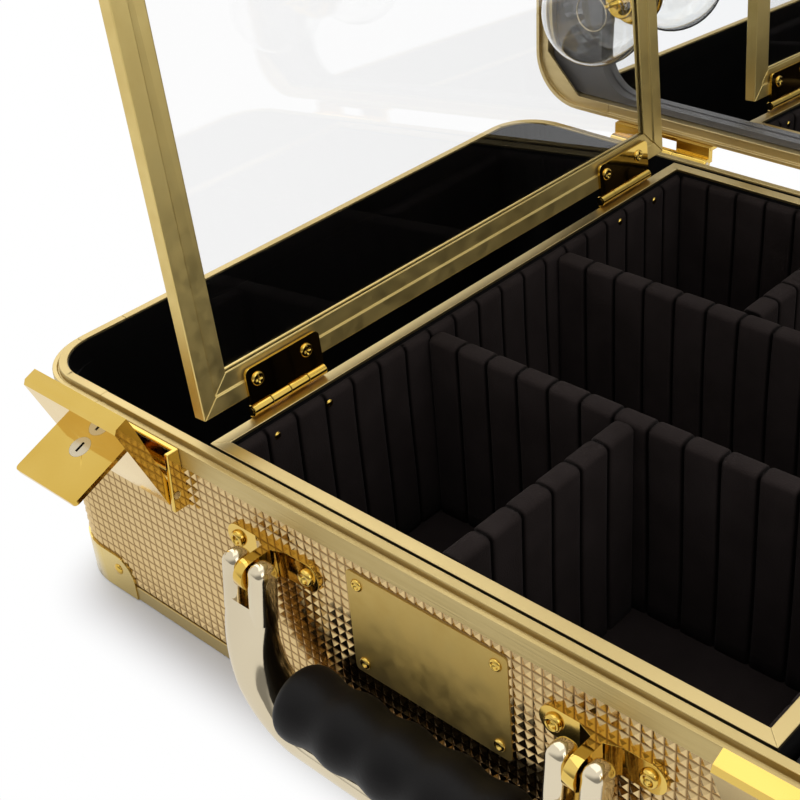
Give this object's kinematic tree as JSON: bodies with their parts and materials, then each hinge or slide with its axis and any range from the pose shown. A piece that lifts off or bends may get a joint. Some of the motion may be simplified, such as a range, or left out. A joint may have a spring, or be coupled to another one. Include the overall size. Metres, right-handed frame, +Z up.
{
  "type": "makeup train case",
  "caption": "Hinged makeup case with a lit mirror lid, a divided padded tray under a raised clear cover, side wells, latches and a carrying handle.",
  "frame": {"origin": "centre of the base underside, on the surface the case stands on", "axes": "+X along the case's length to the right of someone facing its front, -Y out of the front with the handle, +Z up"},
  "size_m": [0.4412, 0.4414, 0.4265],
  "materials": {
    "rim_gold": "satin champagne gold anodised",
    "hardware_gold": "polished gold plate",
    "stud_panel": "gold pyramid-stud sheet",
    "black_board": "black laminate",
    "black_fabric": "black stitched padding",
    "clear_pane": "clear acrylic",
    "mirror_glass": "silvered",
    "bulb_glass": "clear",
    "handle_metal": "champagne silver plate",
    "grip_black": "moulded black",
    "pin_steel": "bright"
  },
  "bodies": {
    "base": {"base_floor_panel": "black_board", "base_front_panel": "stud_panel", "base_back_panel": "stud_panel", "base_end_panels": "stud_panel", "base_corner_posts": "rim_gold", "base_bottom_trims": "rim_gold", "base_corner_caps": "rim_gold", "base_rims_long": "rim_gold", "base_rims_short": "rim_gold", "base_rim_corners": "rim_gold", "well_linings": "black_board", "tray_side_walls": "black_board", "tray_end_walls": "black_board", "tray_floor_pad": "black_fabric", "tray_rim_sides": "rim_gold", "tray_rim_ends": "rim_gold", "tray_lining_left": "black_fabric", "tray_lining_right": "black_fabric", "tray_lining_front": "black_fabric", "tray_lining_back": "black_fabric", "divider_front_long": "black_fabric", "divider_back_long": "black_fabric", "divider_front_short": "black_fabric", "divider_back_short": "black_fabric", "cover_hinge_tray_leaves": "hardware_gold", "cover_hinge_pins": "pin_steel", "lid_hinge_base_leaves": "hardware_gold", "lid_hinge_pins": "pin_steel", "handle_brackets": "hardware_gold", "handle_rivets": "hardware_gold", "latch_bases": "hardware_gold", "latch_pins": "pin_steel", "front_plate": "hardware_gold"},
    "lid": {"lid_top_panel": "stud_panel", "lid_long_panels": "stud_panel", "lid_end_panels": "stud_panel", "lid_corner_posts": "rim_gold", "lid_top_trims": "rim_gold", "lid_corner_caps": "rim_gold", "lid_rims": "rim_gold", "lid_rim_corners": "rim_gold", "mirror_board": "black_fabric", "mirror": "mirror_glass", "bulb_sockets": "hardware_gold", "bulbs": "bulb_glass", "lid_hinge_lid_leaves": "hardware_gold", "latch_strikes": "hardware_gold"},
    "cover": {"cover_rail_hinge_side": "rim_gold", "cover_rail_free_side": "rim_gold", "cover_rails_cross": "rim_gold", "cover_pane": "clear_pane", "cover_hinge_cover_leaves": "hardware_gold"},
    "handle": {"handle_frame": "handle_metal", "handle_grip": "grip_black", "handle_pins": "pin_steel"},
    "lever_left": {"latch_lever_left": "hardware_gold"},
    "lever_right": {"latch_lever_right": "hardware_gold"},
    "lock_left": {"lock_plug_left": "pin_steel"},
    "lock_right": {"lock_plug_right": "pin_steel"}
  },
  "joints": [
    {"name": "lid_hinge", "type": "hinge", "parent": "base", "child": "lid", "pos_m": [0, 0.1675, 0.0969], "axis": [-1, 0, 0], "range_deg": [-8, 0]},
    {"name": "cover_hinge", "type": "hinge", "parent": "base", "child": "cover", "pos_m": [-0.1135, 0, 0.1053], "axis": [0, -1, 0], "range_deg": [-94.9, 0]},
    {"name": "handle_hinge", "type": "hinge", "parent": "base", "child": "handle", "pos_m": [0, -0.1715, 0.075], "axis": [-1, 0, 0], "range_deg": [0, 110]},
    {"name": "latch_hinge_left", "type": "hinge", "parent": "base", "child": "lever_left", "pos_m": [-0.1525, -0.1634, 0.082], "axis": [1, 0, 0], "range_deg": [-22, 60]},
    {"name": "latch_hinge_right", "type": "hinge", "parent": "base", "child": "lever_right", "pos_m": [0.1525, -0.1634, 0.082], "axis": [1, 0, 0], "range_deg": [-22, 60]},
    {"name": "lock_turn_left", "type": "hinge", "parent": "lever_left", "child": "lock_left", "pos_m": [-0.1525, -0.18118, 0.10146], "axis": [0, -0.3746, 0.9272], "range_deg": [0, 90]},
    {"name": "lock_turn_right", "type": "hinge", "parent": "lever_right", "child": "lock_right", "pos_m": [0.1525, -0.18118, 0.10146], "axis": [0, -0.3746, 0.9272], "range_deg": [0, 90]}
  ]
}
